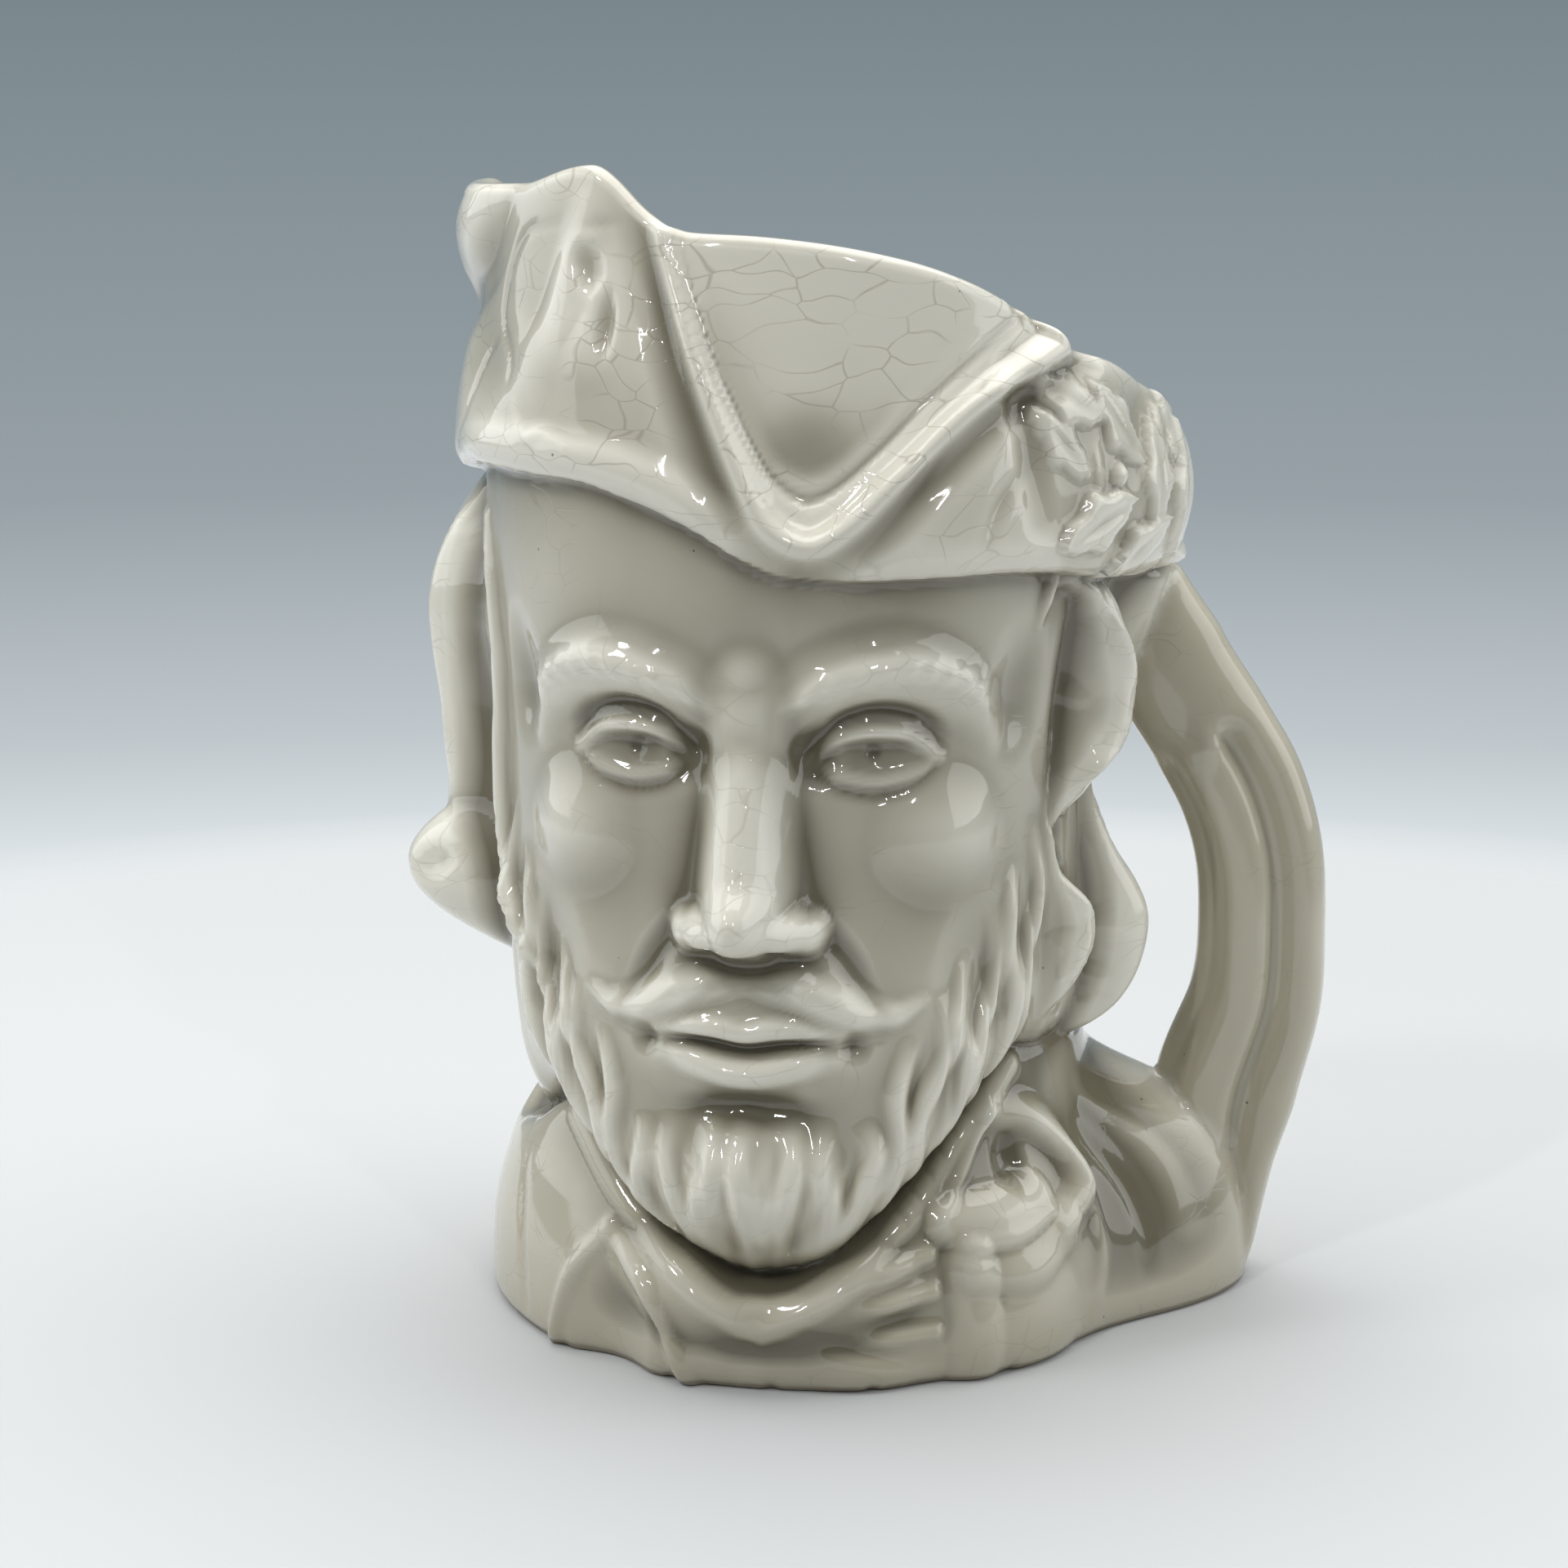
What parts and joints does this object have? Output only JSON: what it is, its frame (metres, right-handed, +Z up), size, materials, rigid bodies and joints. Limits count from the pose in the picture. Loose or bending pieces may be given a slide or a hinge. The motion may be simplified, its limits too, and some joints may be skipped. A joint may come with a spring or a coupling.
{
  "type": "character jug",
  "caption": "Hollow pottery jug shaped as the head of a bearded hunter in a peaked hat, open at the hat's rim, with a leafy sprig and a ribbed loop handle.",
  "frame": {"origin": "middle of the footprint of the jug's outer size, on the table", "axes": "+Z up, the face looks along -Y, the handle stands out towards +X"},
  "size_m": [0.1539, 0.1357, 0.189],
  "materials": {
    "ivory_glaze": "glossy ivory glaze with fine crazing on earthenware"
  },
  "bodies": {
    "root": {"jug": "ivory_glaze"}
  },
  "joints": []
}
